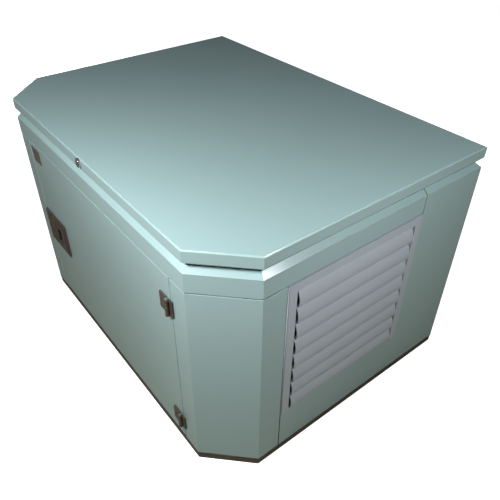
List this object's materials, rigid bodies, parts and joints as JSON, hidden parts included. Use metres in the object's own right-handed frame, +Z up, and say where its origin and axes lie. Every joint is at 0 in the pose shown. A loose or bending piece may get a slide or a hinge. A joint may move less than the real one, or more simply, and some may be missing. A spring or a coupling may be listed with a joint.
{
  "type": "home standby generator",
  "caption": "Enclosed standby generator with a service door, rear-hinged lid, gravity air shutter and an engine-driven alternator inside.",
  "frame": {"origin": "centre of the underside of the base frame", "axes": "+X towards the air shutter end, -Y towards the service door, +Z up"},
  "size_m": [1.2071, 0.913, 0.746],
  "materials": {
    "body_paint": "satin",
    "base_paint": "satin",
    "hardware_paint": "satin",
    "shutter_plastic": "matt",
    "seal_rubber": "matt",
    "foam": "matt",
    "zinc_steel": "satin",
    "bright_steel": "polished",
    "chrome": "polished",
    "plate_brown": "satin",
    "black_plastic": "matt",
    "cast_aluminium": "cast",
    "cast_iron": "cast",
    "winding": "satin",
    "stator_paint": "satin",
    "spark_ceramic": "gloss",
    "filter_paint": "gloss",
    "starter_paint": "satin",
    "exhaust_steel": "satin",
    "battery_plastic": "satin",
    "cable_rubber": "satin",
    "control_plastic": "matt",
    "white_plastic": "gloss",
    "red_plastic": "gloss"
  },
  "bodies": {
    "enclosure": {"base_frame": "base_paint", "base_floor": "base_paint", "corner_panel_left": "body_paint", "corner_panel_right": "body_paint", "top_band": "body_paint", "rear_panel": "body_paint", "side_panel_left": "body_paint", "side_panel_right": "body_paint", "door_frame": "body_paint", "seals": "seal_rubber", "bulkhead": "zinc_steel", "wall_foam": "foam", "louvre_frame": "shutter_plastic", "intake_grille": "shutter_plastic", "fixed_hardware": "hardware_paint", "hinge_pins": "bright_steel", "conduit_gland": "black_plastic", "rubber_mounts": "seal_rubber", "mount_bolts": "zinc_steel", "crankcase": "cast_aluminium", "cylinders": "cast_aluminium", "cylinder_heads": "cast_aluminium", "spark_plugs": "spark_ceramic", "fan_shroud": "black_plastic", "stator": "stator_paint", "end_bell": "cast_aluminium", "gas_mixer": "cast_aluminium", "air_filter_box": "black_plastic", "oil_filter": "filter_paint", "dipstick": "zinc_steel", "starter_motor": "starter_paint", "exhaust": "exhaust_steel", "battery": "battery_plastic", "wiring": "cable_rubber", "gas_regulator": "cast_aluminium", "gas_hose": "cable_rubber", "control_box": "control_plastic", "breaker": "black_plastic"},
    "door": {"door_panel": "body_paint", "door_hinge_leaves": "hardware_paint", "latch_plate": "hardware_paint", "rating_plate": "plate_brown"},
    "paddle": {"paddle": "hardware_paint"},
    "latch_bolt": {"latch_bolt": "zinc_steel"},
    "lid": {"lid_shell": "body_paint", "lid_hinge_leaves": "hardware_paint"},
    "lid_lock": {"lid_lock": "chrome"},
    "rotating_set": {"crankshaft": "bright_steel", "flywheel": "cast_iron", "rotor": "winding"},
    "breaker_toggle": {"breaker_toggle": "white_plastic"},
    "stop_button": {"stop_button": "red_plastic"},
    "vane_1": {"vane_1": "shutter_plastic"},
    "vane_2": {"vane_2": "shutter_plastic"},
    "vane_3": {"vane_3": "shutter_plastic"},
    "vane_4": {"vane_4": "shutter_plastic"},
    "vane_5": {"vane_5": "shutter_plastic"},
    "vane_6": {"vane_6": "shutter_plastic"},
    "vane_7": {"vane_7": "shutter_plastic"},
    "vane_8": {"vane_8": "shutter_plastic"}
  },
  "joints": [
    {"name": "door_swing", "type": "hinge", "parent": "enclosure", "child": "door", "pos_m": [0.41, -0.4505, 0], "axis": [0, 0, 1], "range_deg": [0, 110]},
    {"name": "paddle_pull", "type": "hinge", "parent": "door", "child": "paddle", "pos_m": [-0.3995, -0.446, 0.32], "axis": [0, 0, -1], "range_deg": [0, 35], "stiffness_Nm_per_rad": 0.05},
    {"name": "bolt_slide", "type": "slide", "parent": "door", "child": "latch_bolt", "axis": [1, 0, 0], "range_m": [0, 0.011]},
    {"name": "lid_lift", "type": "hinge", "parent": "enclosure", "child": "lid", "pos_m": [0, 0.4505, 0.699], "axis": [-1, 0, 0], "range_deg": [0, 100]},
    {"name": "lock_turn", "type": "hinge", "parent": "lid", "child": "lid_lock", "pos_m": [0, -0.4425, 0.732], "axis": [0, -1, 0], "range_deg": [0, 90]},
    {"name": "engine_spin", "type": "hinge", "parent": "enclosure", "child": "rotating_set", "pos_m": [0, 0, 0.215], "axis": [1, 0, 0], "continuous": true},
    {"name": "breaker_flip", "type": "hinge", "parent": "enclosure", "child": "breaker_toggle", "pos_m": [-0.01, -0.406, 0.515], "axis": [1, 0, 0], "range_deg": [-20, 20]},
    {"name": "stop_press", "type": "slide", "parent": "enclosure", "child": "stop_button", "axis": [0, 1, 0], "range_m": [0, 0.005], "stiffness_N_per_m": 400},
    {"name": "vane_1_swing", "type": "hinge", "parent": "enclosure", "child": "vane_1", "pos_m": [0.592, 0, 0.599], "axis": [0, -1, 0], "range_deg": [0, 60]},
    {"name": "vane_2_swing", "type": "hinge", "parent": "enclosure", "child": "vane_2", "pos_m": [0.592, 0, 0.54556], "axis": [0, -1, 0], "range_deg": [0, 60]},
    {"name": "vane_3_swing", "type": "hinge", "parent": "enclosure", "child": "vane_3", "pos_m": [0.592, 0, 0.49212], "axis": [0, -1, 0], "range_deg": [0, 60]},
    {"name": "vane_4_swing", "type": "hinge", "parent": "enclosure", "child": "vane_4", "pos_m": [0.592, 0, 0.43869], "axis": [0, -1, 0], "range_deg": [0, 60]},
    {"name": "vane_5_swing", "type": "hinge", "parent": "enclosure", "child": "vane_5", "pos_m": [0.592, 0, 0.38525], "axis": [0, -1, 0], "range_deg": [0, 60]},
    {"name": "vane_6_swing", "type": "hinge", "parent": "enclosure", "child": "vane_6", "pos_m": [0.592, 0, 0.33181], "axis": [0, -1, 0], "range_deg": [0, 60]},
    {"name": "vane_7_swing", "type": "hinge", "parent": "enclosure", "child": "vane_7", "pos_m": [0.592, 0, 0.27837], "axis": [0, -1, 0], "range_deg": [0, 60]},
    {"name": "vane_8_swing", "type": "hinge", "parent": "enclosure", "child": "vane_8", "pos_m": [0.592, 0, 0.22494], "axis": [0, -1, 0], "range_deg": [0, 60]}
  ],
  "couplings": [
    {"joint": "bolt_slide", "follows": "paddle_pull", "m_per_rad": 0.01799}
  ]
}
